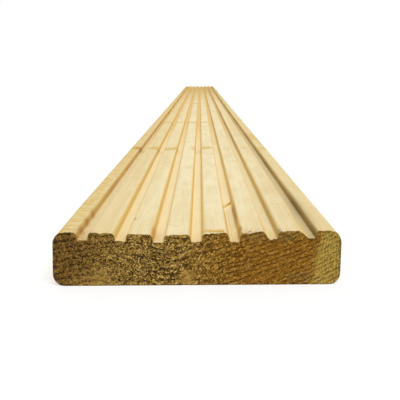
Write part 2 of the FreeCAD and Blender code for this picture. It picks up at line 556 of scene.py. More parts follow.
def face_outline(graph):
    """The upper outline of the section: a side, its rounded edge, lands and grooves, and the other side."""
    given = graph.given
    grooves = given("Groove Count")
    index = graph.out("GeometryNodeInputIndex")
    corner = graph.math("FLOORED_MODULO", index - 2, 4.0)
    groove = graph.math("FLOOR", (index - 2) / 4)
    hand = graph.math("SIGN", corner - 1.5)
    low = abs(corner - 1.5) < 1.0
    lean = given("Groove Depth") * graph.math("TANGENT", given("Wall Angle"))
    half = given("Groove Floor") / 2 + (1 - low) * lean
    groove_x = (groove - (grooves - 1) / 2) * given("Groove Pitch") + hand * half
    groove_z = given("Thickness") - given("Groove Depth") * low

    from_middle = index - (grooves * 2 + 1.5)
    edge = abs(from_middle) > grooves * 2
    foot = abs(from_middle) > grooves * 2 + 1
    edge_x = graph.math("SIGN", from_middle) * given("Width") / 2
    edge_z = given("Thickness") - foot * (given("Edge Radius") + SIDE_STEP)

    groove_radius = graph.mix(low, given("Land Radius") + given("Shoulder Wear"), given("Root Radius"))
    return plotted_curve(
        graph,
        grooves * 4 + 4,
        graph.mix(edge, groove_x, edge_x),
        graph.mix(edge, groove_z, edge_z),
        graph.mix(edge, groove_radius, given("Edge Radius")),
    )


def underside_outline(graph):
    """The lower outline of the section: flat between two rounded edges."""
    given = graph.given
    from_middle = graph.out("GeometryNodeInputIndex") - 1.5
    foot = abs(from_middle) > 1.0
    x = graph.math("SIGN", from_middle) * given("Width") / 2
    z = foot * (given("Edge Radius") + SIDE_STEP)
    return plotted_curve(graph, 4, x, z, given("Edge Radius"))


def store(graph, geometry, name, value, domain="POINT", data_type="FLOAT"):
    inputs = {"Geometry": geometry, "Name": name, "Value": value}
    return graph.out("GeometryNodeStoreNamedAttribute", inputs, domain=domain, data_type=data_type)


def stored(graph, name):
    return graph.out("GeometryNodeInputNamedAttribute", {"Name": name}, data_type="FLOAT")


def bake_map(graph, geometry, across, along, up):
    """Writes the map that the finish is baked on: a long strip for each long side and for each end."""
    x, y, z = graph.split(graph.out("GeometryNodeInputNormal"))
    facing = (z, z * -1, x * -1, x, y * -1, y)
    sides = [lean > 0.5 for lean in facing]
    start = sum(side * low for side, (low, high) in zip(sides, BAKE_STRIPS))
    height = sum(side * (high - low) for side, (low, high) in zip(sides, BAKE_STRIPS))
    flat = sides[0] + sides[1]
    end = sides[4] + sides[5]
    # The near end's stretch gets more of the map than its length would give it
    lengthwise = (along + graph.curve(along, station_curve())) / 2
    place = graph.vector(
        graph.mix(end, lengthwise, across) * (1 - 2 * STRIP_MARGIN) + STRIP_MARGIN,
        start + height * graph.mix(flat, up, across),
        0.0,
    )
    geometry = store(graph, geometry, "sawn_end", end, "FACE")
    return store(graph, geometry, "OFBake", place, "CORNER", "FLOAT2")


def station_curve():
    """The stations' plan with both axes from 0 to 1."""
    whole = STATION_PLAN[-1][1]
    return [(share, distance / whole) for share, distance in STATION_PLAN]


def board_lattice(graph):
    """A box of columns, stations and rows that carries each point's place in it."""
    box = {"Vertices X": COLUMNS, "Vertices Y": STATIONS, "Vertices Z": ROWS}
    lattice = graph.out("GeometryNodeMeshCube", box)
    across, along, up = [value + 0.5 for value in graph.split(graph.out("GeometryNodeInputPosition"))]
    lattice = bake_map(graph, lattice, across, along, up)
    for name, value in (("across", across), ("along", along), ("up", up)):
        lattice = store(graph, lattice, name, value)
    return lattice


def moulded(graph, lattice):
    """The lattice set to the section: each column runs from the underside's outline to the face's."""
    across, along, up = [stored(graph, name) for name in ("across", "along", "up")]
    sampled = []
    for outline in (underside_outline(graph), face_outline(graph)):
        node = graph.node("GeometryNodeSampleCurve", {"Curves": outline, "Factor": across}, mode="FACTOR")
        sampled.append([graph.split(vector) for vector in graph.outputs(node, "Position", "Tangent")])
    (low, _), (high, course) = sampled
    depth = (graph.given("Thickness") - high[2]) / graph.given("Groove Depth")
    y = (graph.curve(along, station_curve()) - 0.5) * graph.given("Length")
    place = graph.vector(graph.mix(up, low[0], high[0]), y, graph.mix(up, low[2], high[2]))
    board = store(graph, lattice, "wall", course[2] * -1 * up)
    board = store(graph, board, "depth", depth * up)
    return graph.out("GeometryNodeSetPosition", {"Geometry": board, "Position": place})


def shifted(graph, geometry, x, y, z):
    offset = graph.vector(x, y, z)
    return graph.out("GeometryNodeSetPosition", {"Geometry": geometry, "Offset": offset})


def ring_height(graph, x, z):
    """Height over the growth ring that passes through the lowest point of the end."""
    dip = graph.curve(x / SIZE.x + 0.5, RING_DIP, "AUTO_CLAMPED") * RING_RISE
    waves = (graph.noise(x, 0.0, z, scale=150.0) - 0.5) * RING_WAVE
    ripples = (graph.noise(x, 0.0, z, scale=480.0, detail=1.0) - 0.5) * RING_RIPPLE
    return z - dip + waves + ripples


def torn_tone(graph, x, height, far):
    """Tone of each torn clump on a sawn end: 0 in a pit, 1 at a standing tip."""
    spread = graph.curve(x / SIZE.x + 0.5, CLUMP_SPREAD) * SIZE.x
    place = graph.vector(spread + far, height, 0.0)
    stray = graph.out("ShaderNodeTexNoise", {"Vector": place, "Scale": 1200.0}, output="Color")
    reach = (CLUMP_STRAY, CLUMP_STRAY, 0.0)
    place = graph.out("ShaderNodeVectorMath", {0: stray, 1: reach, 2: place}, operation="MULTIPLY_ADD")
    tones = []
    for size, share in CLUMPS:
        inputs = {"Vector": place, "Scale": 1 / size}
        clump = graph.out("ShaderNodeTexVoronoi", inputs, output="Color", voronoi_dimensions="2D")
        tones.append(graph.split(clump)[0] * share)
    return sum(tones)


def at_end(along):
    """1 at the points of the two ends."""
    return abs(along - 0.5) > 0.4999


def leaning(graph, x, from_near, up, skin):
    """How far the near end moves sideways: groove walls lean over, and the left side leans in."""
    given = graph.given
    pitch = given("Groove Pitch")
    row = given("Groove Count") * pitch / 2
    cell = graph.math("FLOORED_MODULO", x + row, pitch)
    from_wall = cell - (pitch - given("Groove Floor")) / 2
    beside_wall = graph.bell(from_wall / SLANT_REACH) * (abs(x) < row)
    outward = graph.ease(x, SLANT_START, row - SLANT_MARGIN)
    slant = (stored(graph, "depth") * 2 - 1) * beside_wall * outward * given("Slant")
    slant = slant * graph.ease(from_near, SLANT_RUN, 1 * MM) * skin
    lean = graph.ease(x, LOW.x + LEAN_REACH, LOW.x) * graph.ease(from_near, LEAN_RUN, 0.0)
    return slant + lean * up * given("Side Lean")


def worn(graph, board):
    """Moves the face and the ends as drying, moulding and sawing left them."""
    given = graph.given
    x, y, z = graph.split(graph.out("GeometryNodeInputPosition"))
    along, up = stored(graph, "along"), stored(graph, "up")
    from_near = y + given("Length") / 2
    from_end = graph.math("MINIMUM", from_near, given("Length") / 2 - y)
    # 1 on the face, and almost 0 from a third of the way down
    skin = up ** 8

    fade = graph.ease(from_near, 0.0, HOLLOW_RUN, 1.0, HOLLOW_LEFT)
    hollow = graph.bell((x - given("Hollow Place")) / given("Hollow Reach")) * given("Hollow") * fade * up

    chip_noise = graph.noise(x, y * 0.6, given("Seed"), scale=260.0)
    chip = graph.ease(chip_noise, 0.5, 0.7) * graph.ease(from_end, CHIP_RUN, 0.0) * given("Chip Depth")
    grain_noise = graph.noise(x, y * 0.01, given("Seed"), scale=420.0)
    grain = (grain_noise - 0.5) * 2 * given("Grain Relief")

    middle = (given("Tear Groove") - (given("Groove Count") + 1) / 2) * given("Groove Pitch")
    from_tear = x - middle
    past_tear = from_near - given("Tear Length") - from_tear * TEAR_SKEW
    torn = graph.ease(past_tear, 0.0, -TEAR_LIP) * graph.ease(abs(from_tear), *TEAR_BORDER)
    tear = torn * given("Tear Depth")
    dent = graph.spot(x, from_near, DENT_PLACE, DENT_REACH) * given("Dent Depth")
    dent = dent + graph.spot(x, from_near, BREAK_PLACE, BREAK_REACH) * given("Break Depth")

    drop = hollow + (chip + tear + dent - grain) * skin
    board = shifted(graph, board, leaning(graph, x, from_near, up, skin), 0.0, drop * -1)

    inward = graph.math("SIGN", 0.5 - along)
    tone = torn_tone(graph, x, ring_height(graph, x, z), along > 0.5)
    swells = graph.noise(x, given("Seed"), z, scale=110.0)
    relief = (1.2 - tone * 0.8 - swells * 0.4) * given("Saw Relief")
    return shifted(graph, board, 0.0, at_end(along) * inward * relief, 0.0)


def finished(graph, geometry):
    """Realized, with the planed finish all over and the sawn finish on the ends."""
    geometry = graph.out("GeometryNodeRealizeInstances", {"Geometry": geometry})
    planed = {"Geometry": geometry, "Material": graph.given("Planed")}
    geometry = graph.out("GeometryNodeSetMaterial", planed)
    sawn = {"Geometry": geometry, "Selection": stored(graph, "sawn_end"), "Material": graph.given("Sawn")}
    return graph.out("GeometryNodeSetMaterial", sawn)


def board_tree(values):
    """The board as one Geometry Nodes tree: lattice, moulded section, wear, finishes."""
    graph = new_graph("Moulded board", "GeometryNodeTree", sockets_for(values), {"Board": GEOMETRY})
    board = worn(graph, moulded(graph, board_lattice(graph)))
    graph.give(Board=finished(graph, board))
    return graph.tree


def random_value(graph, low, high, seed):
    inputs = {2: low, 3: high, "Seed": seed}
    return graph.out("FunctionNodeRandomValue", inputs, output=1, data_type="FLOAT")


def fibre_shape(graph):
    """A four-sided spike, one unit long and one unit thick."""
    sides = {"Vertices": 4, "Radius Top": 0.0, "Radius Bottom": 0.5, "Depth": 1.0}
    return graph.out("GeometryNodeMeshCone", sides, fill_type="NGON")


def spiked(graph, points, rotation, length, seed):
    """A spike on each point, of varied length and thickness."""
    thickness = graph.given("Thickness")
    size = graph.vector(
        random_value(graph, thickness * THINNEST, thickness, seed),
        random_value(graph, thickness * THINNEST, thickness, seed + 1),
        random_value(graph, length * SHORTEST, length, seed + 2),
    )
    inputs = {"Points": points, "Instance": fibre_shape(graph), "Rotation": rotation, "Scale": size}
    return graph.out("GeometryNodeInstanceOnPoints", inputs)


def end_tufts(graph):
    """Short tufts all over the sawn ends, tilted at random."""
    seed = graph.given("Seed")
    across, up = stored(graph, "across"), stored(graph, "up")
    clear = (up > 0.03) * (abs(across - 0.5) < 0.49)
    inputs = {
        "Mesh": graph.given("Board"),
        "Selection": stored(graph, "sawn_end") * clear,
        "Density": graph.given("Tuft Density"),
        "Seed": seed,
    }
    node = graph.node("GeometryNodeDistributePointsOnFaces", inputs)
    points, upright = graph.outputs(node, "Points", "Rotation")
    tilt = graph.vector(
        random_value(graph, -TUFT_TILT, TUFT_TILT, seed + 11),
        random_value(graph, -TUFT_TILT, TUFT_TILT, seed + 12),
        random_value(graph, 0.0, math.pi, seed + 13),
    )
    turned = {"Rotation": upright, "Rotate By": tilt}
    rotation = graph.out("FunctionNodeRotateRotation", turned, rotation_space="LOCAL")
    return spiked(graph, points, rotation, graph.given("Tuft Length"), seed + 20)


def edge_fringe(graph):
    """Fibres that stand out of the upper edge of each sawn end."""
    seed = graph.given("Seed")
    across, along, up = [stored(graph, name) for name in ("across", "along", "up")]
    upper = (up > 0.999) * (abs(across - 0.5) < 0.47)
    inputs = {"Mesh": graph.given("Board"), "Selection": at_end(along) * upper}
    points = graph.out("GeometryNodeMeshToPoints", inputs)
    inputs = {"Geometry": points, "Amount": graph.given("Fringe Count")}
    points = graph.out("GeometryNodeDuplicateElements", inputs, domain="POINT")
    outward = graph.math("SIGN", along - 0.5)
    points = shifted(
        graph,
        points,
        random_value(graph, -FRINGE_STRAY, FRINGE_STRAY, seed + 31),
        outward * random_value(graph, -FRINGE_SINK, 0.0, seed + 32),
        random_value(graph, -FRINGE_DROP, 0.0, seed + 33),
    )
    course = graph.vector(
        random_value(graph, -FRINGE_SWAY, FRINGE_SWAY, seed + 34),
        outward,
        random_value(graph, *FRINGE_LIFT, seed + 35),
    )
    rotation = graph.out("FunctionNodeAlignRotationToVector", {"Vector": course}, axis="Z")
    length = graph.given("Fringe Length") * graph.ease(along, 0.4, 0.6, 1.0, FAR_FRINGE)
    return spiked(graph, points, rotation, length, seed + 40)


def fibre_tree(values):
    """The standing fibres as one Geometry Nodes tree, grown on the board's own mesh."""
    inputs = {"Board": GEOMETRY, **sockets_for(values)}
    graph = new_graph("Torn fibres", "GeometryNodeTree", inputs, {"Fibres": GEOMETRY})
    join = graph.node("GeometryNodeJoinGeometry")
    for spikes in (end_tufts(graph), edge_fringe(graph)):
        graph.tree.links.new(spikes.socket, join.inputs[0])
    fibres = graph.out("GeometryNodeRealizeInstances", {"Geometry": graph.outputs(join)[0]})
    x, y, z = graph.split(graph.out("GeometryNodeInputPosition"))
    far = y > 0.0
    # The near end's fibres take the lower half of their bake map, the far end's the upper half
    place = graph.vector(x / SIZE.x * 0.96 + 0.5, z / SIZE.z * 0.44 + far * 0.5 + 0.02, 0.0)
    fibres = store(graph, fibres, "OFBake", place, "CORNER", "FLOAT2")
    finish = {"Geometry": fibres, "Material": graph.given("Finish")}
    graph.give(Fibres=graph.out("GeometryNodeSetMaterial", finish))
    return graph.tree


def grown(name, tree, values, ground=None):
    """An object with the tree's result as a plain mesh, grown on a copy of the ground mesh if given."""
    start = ground.copy() if ground else bpy.data.meshes.new(name)
    piece = bpy.data.objects.new(name, start)
    bpy.context.scene.collection.objects.link(piece)
    modifier = piece.modifiers.new(tree.name, "NODES")
    modifier.node_group = tree
    for socket in tree.interface.items_tree:
        if socket.in_out == "INPUT" and socket.name in values:
            modifier[socket.identifier] = values[socket.name]
    graph = bpy.context.evaluated_depsgraph_get()
    mesh = bpy.data.meshes.new_from_object(
        piece.evaluated_get(graph), preserve_all_data_layers=True, depsgraph=graph
    )
    piece.modifiers.clear()
    piece.data = mesh
    bpy.data.meshes.remove(start)
    mesh.name = name
    return piece


class Coat:
    """A colour laid on in layers."""

    def __init__(self, graph, ground):
        self.graph = graph
        self.result = ground

    def lay(self, share, over):
        self.result = self.graph.paint(share, self.result, over)


def material_graph(name):
    material = bpy.data.materials.new(name)
    material.use_nodes = True
    material.node_tree.nodes.clear()
    return material, Graph(material.node_tree)


def surface(graph, inputs):
    """Links a plain shader with these inputs to the material's output."""
    shader = graph.out("ShaderNodeBsdfPrincipled", inputs)
    graph.node("ShaderNodeOutputMaterial", {"Surface": shader})


def bumpy_surface(graph, base, roughness, height, depth):
    """A shader whose relief is as deep as given."""
    bump = graph.out("ShaderNodeBump", {"Height": height, "Distance": depth, "Strength": 1.0})
    surface(graph, {"Base Color": base, "Roughness": roughness, "Normal": bump, "Specular IOR Level": 0.12})


def attribute(graph, name):
    return graph.out("ShaderNodeAttribute", output="Fac", attribute_name=name)


def object_place(graph):
    return graph.split(graph.out("ShaderNodeTexCoord", output="Object"))


def growth_lines(graph, x, y, z):
    """Thin growth lines along the board, fainter in some stretches than in others."""
    sway = graph.noise(x * 15, y * 0.5, z * 15, scale=1.0) - 0.5
    place = (x + z * 0.7 + sway * LINE_SWAY) / LINE_STEP
    line = graph.ease(abs(graph.math("FRACT", place) - 0.5), 0.3, 0.05)
    order = graph.math("FLOOR", place)
    strength = graph.random(order) * 0.6 + 0.4
    stretch = graph.noise(order * 0.37, y * 7, 0.0, scale=1.0, detail=1.0)
    return line * strength * graph.ease(stretch, 0.3, 0.6, 0.35, 1.0)


def branch_whorls(graph, x, near):
    """Bands across the board where branches grew, clearer in some places than in others."""
    count = len(WHORLS) + 1
    steps = [(place / SIZE.y, (order + 1) / count) for order, place in enumerate(WHORLS)]
    bend = (graph.noise(x, 0.3, 0.0, scale=40.0) - 0.5) * WHORL_BEND
    order = graph.curve((near + bend) / SIZE.y, [(0.0, 0.0), *steps, (1.0, 1.0)]) * count + 0.5
    off = abs(graph.math("FRACT", order) - 0.5) * SIZE.y / count
    patch = graph.noise(x, graph.math("FLOOR", order) * 0.17, 0.0, scale=46.0, detail=1.0)
    patch = graph.ease(patch + graph.ease(x, 30 * MM, -30 * MM, -0.12, 0.06), 0.36, 0.62)
    return graph.ease(off, WHORL_REACH, 0.0) * patch * graph.ease(near, 0.1, 0.2)


def groove_walls(coat, colours, section, x, near, wall, depth, whorls):
    """Golden groove walls, stained and darkened with painted shade at both edges of the board, over pale
    floors.
    """
    graph = coat.graph
    row = section.groove_count * section.groove_pitch / 2
    depth = depth * (abs(x) < row)
    floor = graph.ease(depth, 0.7, 0.97) * graph.ease(abs(wall), 0.6, 0.2)
    share = graph.curve(x / SIZE.x + 0.5, STAIN_AND_SHADE_SHARE)
    coat.lay(floor * graph.ease(near, 0.25, 1.4, 0.6, 0.0), colours.groove_floor)
    coat.lay(floor * graph.ease(near, 2 * MM, 28 * MM, 0.3, 0.0), colours.gold)
    coat.lay(floor * graph.ease(near, 0.3, 0.75, 0.0, 0.6), colours.gold)
    coat.lay(graph.ease(depth, 0.0, 0.1) * (1 - floor) * 0.4, colours.groove_amber)
    # Floors darker towards both edges: partly stain, partly painted shade
    coat.lay(floor * share * 0.3, colours.groove_umber)

    groove = graph.math("ROUND", x / section.groove_pitch)
    blotch = graph.noise(groove * 3.7, near, 0.0, scale=9.0)
    left_stain_and_shade = graph.ease(near, 0.02, 0.12, 0.8, 0.95)
    right_stain_and_shade = graph.ease(near, 0.05, 0.12, 1.0, 0.72)
    further = graph.ease(x, 40 * MM, 54 * MM, 0.45, -0.25)
    right_stain_and_shade = right_stain_and_shade + graph.ease(near, 0.15, 0.5) * further
    side_stain_and_shade = graph.mix(graph.ease(x, -10 * MM, 10 * MM), left_stain_and_shade, right_stain_and_shade)
    # Walls facing the middle get the stain with painted shade, deepest towards the right and towards the
    # floor
    inward = wall * x < 0.0
    stain_and_shade = share * side_stain_and_shade * inward * graph.ease(blotch, 0.3, 0.7, 0.75, 1.15)
    stain_and_shade = stain_and_shade * graph.ease(depth, 0.0, 0.8, 0.6, 1.0)
    to_right = graph.ease(x, -20 * MM, 20 * MM)
    stain_and_shade_colour = graph.paint(to_right, colours.groove_brown, colours.groove_umber)
    steep = graph.ease(abs(wall), 0.15, 0.7) * graph.ease(depth, 0.0, 0.16)
    coat.lay(steep * (inward * 0.5 + 0.5), graph.paint(stain_and_shade, colours.groove_amber, stain_and_shade_colour))
    coat.lay(whorls * steep * graph.ease(x, -50 * MM, -35 * MM, 0.5, 0.2), colours.knot)
    # Stain with a painted shadow along the foot of the rightmost groove's right wall
    spill_and_shadow = graph.spot(x, near, SPILL_AND_SHADOW_PLACE, SPILL_AND_SHADOW_REACH) * graph.ease(blotch, 0.3, 0.7, 0.6, 1.0)
    coat.lay(spill_and_shadow * 0.5, colours.groove_umber)


def torn_splinter(coat, colours, section, wear, x, near, lines):
    """The groove where a splinter was torn out: its rusty end, a painted highlight before it, its wall
    bruised and darkened with painted shade, and open grain.
    """
    graph = coat.graph
    from_tear = x - (wear.tear_groove - (section.groove_count + 1) / 2) * section.groove_pitch
    past_tear = near - wear.tear_length - from_tear * TEAR_SKEW
    in_groove = graph.ease(abs(from_tear), *TEAR_TINT_BORDER)
    before = graph.ease(past_tear, 0.0, -TEAR_LIP)
    coat.lay(in_groove * before * lines * 0.6, colours.latewood)
    # Painted highlight: the lit edge of the torn step, in cream
    painted_highlight = graph.ease(abs(past_tear + HIGHLIGHT_BEFORE), 5 * MM, 1 * MM) * in_groove
    coat.lay(painted_highlight * 0.7, colours.cream)
    lip = graph.ease(abs(past_tear + TEAR_LIP / 2), 3 * MM, 0.5 * MM) * in_groove
    coat.lay(lip * 0.7, colours.gold)
    coat.lay(lip * graph.ease(from_tear, -2 * MM, 2 * MM), colours.rust)
    # The wall right of the tear: bruise with painted shade
    wall = graph.ease(abs(from_tear - TEAR_WALL), 0.9 * MM, 0.3 * MM)
    bruise_and_shade = graph.ease(near, *BRUISE_AND_SHADE_START) * graph.ease(near, *BRUISE_AND_SHADE_END)
    coat.lay(bruise_and_shade * wall * 0.45, colours.knot)


def end_marks(coat, colours, x, near, wall, depth):
    """Knots, resin, bruises and cracks near the end, and painted shade in a dent."""
    graph = coat.graph
    for place, reach, share, name in END_STAINS:
        coat.lay(graph.spot(x, near, place, reach) * share, getattr(colours, name))
    resin = graph.spot(x, near, RESIN_PLACE, RESIN_REACH) * graph.ease(abs(wall), 0.0, 0.6, 0.4, 1.0)
    coat.lay(resin * 0.7, colours.rust)
    # Painted shade in the dent in a groove wall
    dent = graph.spot(x, near, DENT_PLACE, DENT_SHADE_REACH) * graph.ease(depth, 0.8, 0.3)
    coat.lay(dent * 0.6, colours.groove_umber)

    ragged = graph.noise(x, 0.2, near, scale=170.0, detail=3.0) - 0.5
    land = graph.ease(abs(x - BAND_PLACE) + ragged * 3 * MM, *BAND_BORDER)
    past_band = near - graph.ease(x, 3 * MM, 14 * MM, 6 * MM, 4.5 * MM) + ragged * 5 * MM
    band = graph.ease(abs(past_band), 1 * MM, 3.5 * MM, 0.9, 0.0) * graph.ease(ragged, -0.3, 0.1, 0.5, 1.0)
    coat.lay(land * band, colours.gold)
    seam = graph.ease(abs(past_band + 2 * MM), 1.5 * MM, 0.0) * graph.ease(x, 5 * MM, 11 * MM)
    coat.lay(land * seam * 0.7, colours.knot)

    wave = graph.noise(x, 0.7, 0.0, scale=150.0, detail=1.0) * 30 * MM
    crack = graph.ease(abs(near - 6 * MM - wave), 1.6 * MM, 0.0) * graph.ease(ragged, -0.1, 0.15)
    crack = crack * graph.ease(abs(x - CRACK_PLACE), *CRACK_BORDER) * (1 - depth)
    coat.lay(crack * 0.6, colours.gold)

    splinters = graph.noise(x, near * 0.5, 0.0, scale=900.0, detail=1.0)
    broken = graph.spot(x, near, BREAK_PLACE, SPLINTER_REACH)
    broken = broken + graph.spot(x, near, TUFT_PLACE, TUFT_REACH) * 0.6
    coat.lay(broken * graph.ease(splinters, 0.45, 0.6) * 0.8, colours.groove_brown)


def edge_marks(coat, colours, x, y, z, near):
    """Chatter of the cutter on the rounded left edge, and golden patches on the right one."""
    graph = coat.graph
    chatter = graph.noise(x * 0.6, y, z * 0.6, scale=230.0)
    chatter = graph.ease(chatter, 0.47, 0.6, 0.2, 1.0) * graph.ease(z, SIZE.z * 0.7, SIZE.z * 0.9)
    coat.lay(chatter * graph.ease(x, *CHATTER_BORDER) * 0.75, colours.gold)
    patches = graph.noise(x * 0.4, y, 0.0, scale=13.0)
    patches = graph.ease(patches, 0.48, 0.62) * graph.ease(x, *PATCH_BORDER)
    coat.lay(patches * graph.ease(near, 0.09, 0.2, 0.0, 0.5), colours.gold)


def planed_material(colours, section, wear):
    """Planed faces: cream to straw and honey, growth lines, branch whorls and tinted groove walls."""
    material, graph = material_graph("Planed softwood")
    x, y, z = object_place(graph)
    near = y + SIZE.y / 2
    wall, depth = attribute(graph, "wall"), attribute(graph, "depth")

    coat = Coat(graph, colours.cream)
    streaks = graph.noise(x, y * 0.02, z, scale=70.0, detail=3.0) - 0.5
    outer = abs(x - PALE_PLACE) / (SIZE.x / 2) + streaks * 0.9
    coat.lay(graph.ease(outer, 0.25, 1.0, 0.0, 0.82), colours.straw)
    beside = graph.ease(abs(x - TINT_PLACE), 20 * MM, 30 * MM, 1.0, 0.3)
    coat.lay(beside * graph.ease(near, 20 * MM, 90 * MM, 0.3, 0.0), colours.straw)
    blotches = graph.noise(x, y * 0.4, z, scale=90.0, detail=3.0, roughness=0.6)
    coat.lay(graph.ease(blotches, 0.45, 0.65) * 0.35, colours.straw)
    mottle = graph.noise(x, y * 0.14, z, scale=130.0, detail=4.0, roughness=0.6) - 0.5
    coat.lay(graph.curve(near / SIZE.y, HONEY_SHARE) + mottle * 0.7, colours.honey)

    fibres = graph.noise(x, y * 0.012, z, scale=1300.0, detail=3.0, roughness=0.65)
    lines = growth_lines(graph, x, y, z)
    clear_lines = lines * graph.curve(x / SIZE.x + 0.5, LINE_SHARE)
    clear_lines = clear_lines * graph.ease(near, 0.06, 0.25, 1.0, 0.5)
    coat.lay(clear_lines * 0.85 + graph.ease(fibres, 0.45, 0.75) * 0.3, colours.latewood)
    edge_marks(coat, colours, x, y, z, near)
    whorls = branch_whorls(graph, x, near)
    coat.lay(whorls * 0.85, colours.gold)

    # Marks of the grooved face stop halfway down the sides
    face = Coat(graph, coat.result)
    groove_walls(face, colours, section, x, near, wall, depth, whorls)
    torn_splinter(face, colours, section, wear, x, near, lines)
    end_marks(face, colours, x, near, wall, depth)
    coat.lay(graph.ease(z, SIZE.z * 0.5, SIZE.z * 0.7), face.result)

    from_end = graph.math("MINIMUM", near, SIZE.y - near)
    cracks = graph.noise(x * 0.12, y, 0.0, scale=420.0)
    coat.lay(graph.ease(cracks, 0.52, 0.7) * graph.ease(from_end, CHIP_RUN, 1 * MM) * 0.5, colours.gold)
    relief = fibres * 0.5 - clear_lines * 0.5
    bumpy_surface(graph, coat.result, roughness=0.62, height=relief, depth=GRAIN_BUMP)
    return material


def end_grain_group(colours):
    """Shader group: colour of a sawn end before it is torn, its ring lines and clumps, the painted shade of
    its pits, and its pale fibre tips that partly stand for their highlight.
    """
    values = {name: FLOAT for name in ("Latewood", "Tone", "Pits", "Tips")}
    graph = new_graph("End grain", "ShaderNodeTree", {}, {"Color": COLOUR, **values})
    x, y, z = object_place(graph)
    across = x / SIZE.x + 0.5
    clouds = graph.noise(x, 0.0, z, scale=75.0, detail=3.0) - 0.5
    height = ring_height(graph, x, z)
    broken = graph.noise(x, 0.0, height * 2.5, scale=300.0)

    # Ring lines: one dark edge to a ring, and plain rows at the left
    uneven = graph.noise(0.3, 0.0, height, scale=180.0) * 2
    share = graph.math("FRACT", height / RING_STEP * graph.ease(across, 0.5, 0.62, 0.72, 1.0) + uneven)
    left = graph.ease(across, 0.3, 0.2)
    row = graph.ease(abs(share - 0.5), 0.15, 0.4)
    late = graph.mix(left, graph.ease(share, 0.4, 0.82) * graph.ease(share, 1.0, 0.92), row)
    late = late * graph.ease(broken, 0.36, 0.6, 0.15, 1.0) * graph.curve(across, RING_SHARE)
    tone = torn_tone(graph, x, height, y > 0.0) + (0.12 - late) * 0.24

    # Outer wood, heartwood, olive patches and sapwood
    coat = Coat(graph, colours.end_outer)
    coat.lay(graph.ease(x + clouds * 24 * MM, *OLIVE_BORDER), colours.end_olive)
    coat.lay(graph.ease(x + clouds * 26 * MM, *HEART_BORDER), colours.end_heart)
    for place in OLIVE_PLACES:
        olive = graph.spot(x, z, place, OLIVE_REACH) + clouds
        coat.lay(graph.ease(olive, 0.2, 0.9) * 0.7, colours.end_olive)
    past_border = x - SAP_BORDER - z * SAP_LEAN + (clouds + broken - 0.5) * 6 * MM
    sap = graph.ease(past_border, -SAP_SOFTNESS, SAP_SOFTNESS)
    hatch = (x + clouds * 8 * MM + (broken - 0.5) * 0.8 * MM) / HATCH_STEP
    hatch = graph.ease(abs(graph.math("FRACT", hatch) - 0.5), 0.1, 0.4)
    coat.lay(sap, colours.end_sap)
    coat.lay(sap * hatch * graph.ease(broken, 0.35, 0.6, 0.35, 0.85), colours.end_olive)

    # Fibres fanned round the branch, and the patch rubbed smooth
    fan_x, fan_z = x - FAN_PLACE[0], z - FAN_PLACE[1]
    radius = graph.math("SQRT", fan_x * fan_x + fan_z * fan_z)
    angle = graph.math("ARCTAN2", fan_z, fan_x)
    rays = graph.noise(angle * 18, radius * 320, 0.0, scale=1.0)
    fan = graph.spot(x, z, FAN_PLACE, FAN_REACH) * graph.ease(fan_x, 3 * MM, -4 * MM)
    fan = graph.ease(fan + clouds * 0.4, 0.2, 0.8)
    coat.lay(fan * graph.ease(rays, 0.4, 0.58, 0.2, 0.8), colours.end_gold)
    coat.lay(fan * graph.ease(rays, 0.5, 0.38) * 0.3, colours.pit)
    specks = graph.noise(x, 0.5, z, scale=420.0) - 0.5
    smooth = graph.spot(x, z, SMOOTH_PLACE, SMOOTH_REACH) + clouds + specks * 1.2
    smooth = graph.ease(smooth, 0.3, 1.0)
    coat.lay(smooth * (specks + 0.75), colours.end_gold)

    calm = graph.math("MAXIMUM", fan * 0.45, smooth * 0.9)
    calm = graph.math("MAXIMUM", calm, left * (1 - row) * 0.25)
    late = late * (1 - graph.math("MAXIMUM", fan, smooth))
    place = across + clouds * 0.08
    # Shares of painted shade in the pits and of pale tips, which partly stand for painted highlight
    pit_shade = graph.ease(tone, 0.52, 0.33) * graph.curve(place, PIT_SHADE_SHARE) * (1 - calm)
    tips_and_highlight = graph.ease(tone, 0.56, 0.8) * graph.curve(place, TIP_SHARE) * (1 - calm)
    graph.give(Color=coat.result, Latewood=late, Tone=tone, Pits=pit_shade, Tips=tips_and_highlight)
    return graph.tree


def end_grain(graph):
    """The end grain group's outputs in a material."""
    return graph.outputs(graph.node("ShaderNodeGroup", node_tree=bpy.data.node_groups["End grain"]))


